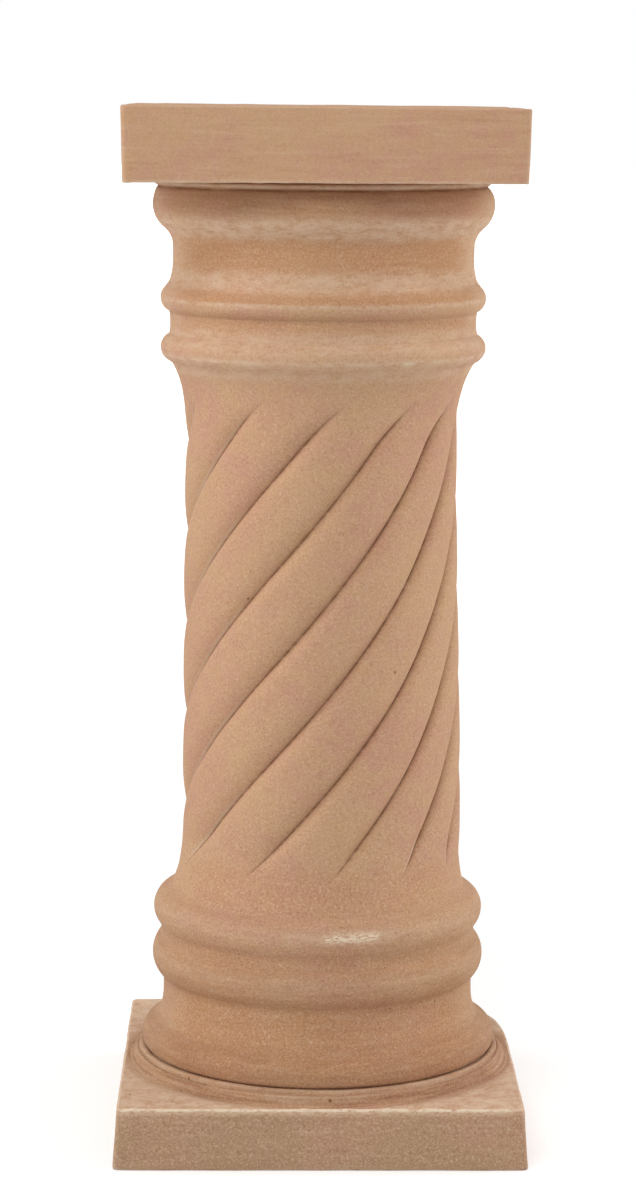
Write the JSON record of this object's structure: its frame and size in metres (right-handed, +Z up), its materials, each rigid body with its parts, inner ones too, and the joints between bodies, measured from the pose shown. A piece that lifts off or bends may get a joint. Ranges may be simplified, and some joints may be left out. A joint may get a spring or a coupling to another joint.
{
  "type": "pedestal column",
  "caption": "Terracotta pedestal column with a square plinth, turned mouldings, a shaft carved with spiral lobes and a square top that carries a pot or a bust.",
  "frame": {"origin": "centre of the plinth's underside", "axes": "+Z up along the column, X and Y square to the plinth's sides, front towards -Y"},
  "size_m": [0.297, 0.297, 0.75],
  "materials": {
    "terracotta": "matt fired clay, mottled buff and pink, with pale bloom on the arrises"
  },
  "bodies": {
    "root": {"column": "terracotta"}
  },
  "joints": []
}
